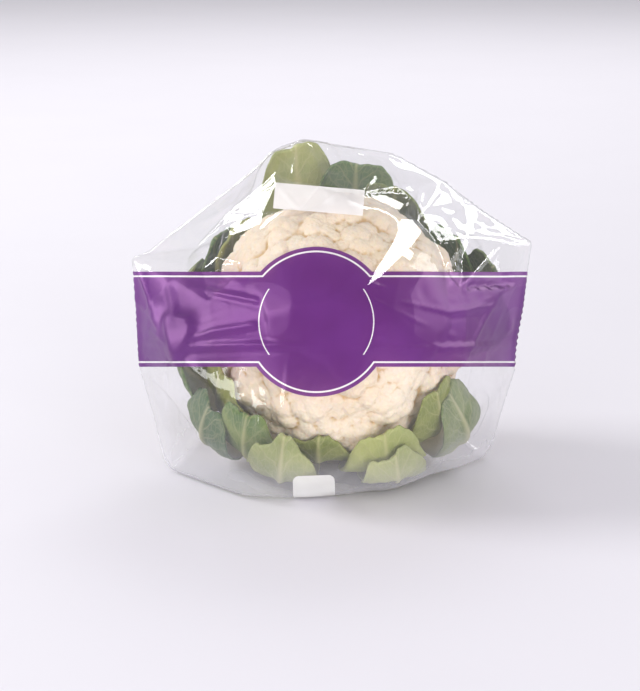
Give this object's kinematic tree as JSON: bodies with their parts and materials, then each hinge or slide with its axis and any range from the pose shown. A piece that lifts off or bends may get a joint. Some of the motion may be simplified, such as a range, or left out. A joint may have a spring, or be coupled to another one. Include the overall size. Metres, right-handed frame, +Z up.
{
  "type": "bagged cauliflower",
  "caption": "Head of cauliflower with trimmed green leaves, lying tilted in a clear film bag with a plain printed band.",
  "frame": {"origin": "bottom centre of the bag's bounding box, on the surface it lies on", "axes": "+Z up, -Y towards the front, where the curd shows, and +X along the bag's width, to the right seen from the front"},
  "size_m": [0.233, 0.189, 0.185],
  "materials": {
    "curd": "creamy white curd, fine bud texture, tan in the grooves",
    "stalk": "pale green stalk with a drier cut end",
    "leaf_inner": "light yellow-green leaf with a pale midrib",
    "leaf_middle": "mid-green leaf with a pale midrib and veins",
    "leaf_outer": "waxy blue-green leaf with a pale midrib and veins",
    "film": "clear glossy film, creased, with a plain purple printed band"
  },
  "bodies": {
    "root": {"curd": "curd", "stalk": "stalk", "leaf_inner_01": "leaf_inner", "leaf_inner_02": "leaf_inner", "leaf_inner_03": "leaf_inner", "leaf_inner_04": "leaf_inner", "leaf_inner_05": "leaf_inner", "leaf_middle_06": "leaf_middle", "leaf_middle_07": "leaf_middle", "leaf_middle_08": "leaf_middle", "leaf_middle_09": "leaf_middle", "leaf_middle_10": "leaf_middle", "leaf_middle_11": "leaf_middle", "leaf_outer_12": "leaf_outer", "leaf_outer_13": "leaf_outer", "leaf_outer_14": "leaf_outer", "leaf_outer_15": "leaf_outer", "leaf_outer_16": "leaf_outer", "leaf_outer_17": "leaf_outer", "leaf_outer_18": "leaf_outer", "bag": "film"}
  },
  "joints": []
}
